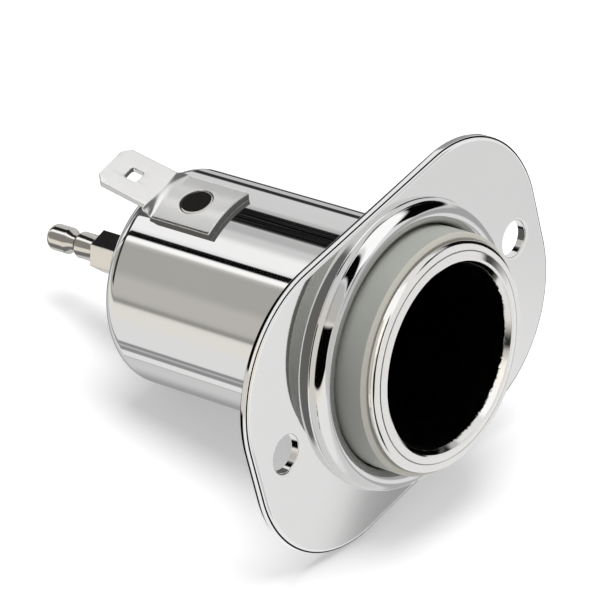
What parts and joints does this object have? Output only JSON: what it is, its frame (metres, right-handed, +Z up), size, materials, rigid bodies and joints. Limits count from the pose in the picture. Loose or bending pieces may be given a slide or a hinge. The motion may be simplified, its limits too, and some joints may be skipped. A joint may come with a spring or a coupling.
{
  "type": "vehicle power socket",
  "caption": "Panel power socket with an oval screw flange, a light ring round its open mouth, a chromed can, a spade tab for the earth and a bullet terminal at the rear.",
  "frame": {"origin": "centre of the flange's back face, midway between its two screw holes, on the socket's axis", "axes": "-Y out of the socket's mouth, +Y towards the rear terminal, X along the two screw holes, +Z up on the side of the earth tab"},
  "size_m": [0.0518, 0.0596, 0.0352],
  "materials": {
    "chrome": "polished",
    "nickel": "bright nickel plate",
    "satin_nickel": "satin nickel plate",
    "light_plastic": "milky, translucent",
    "brass": "bright",
    "insulator": "moulded, matte",
    "zinc_steel": "zinc plate"
  },
  "bodies": {
    "root": {"flange_plate": "chrome", "light_ring": "light_plastic", "socket_tube": "nickel", "outer_can": "chrome", "contact_screw": "zinc_steel", "contact_disc": "brass", "inner_insulator": "insulator", "tension_washer": "zinc_steel", "rear_insulator": "insulator", "flat_washer": "zinc_steel", "lock_washer": "zinc_steel", "terminal_bullet": "nickel", "ground_tab": "satin_nickel", "ground_rivet": "nickel"}
  },
  "joints": []
}
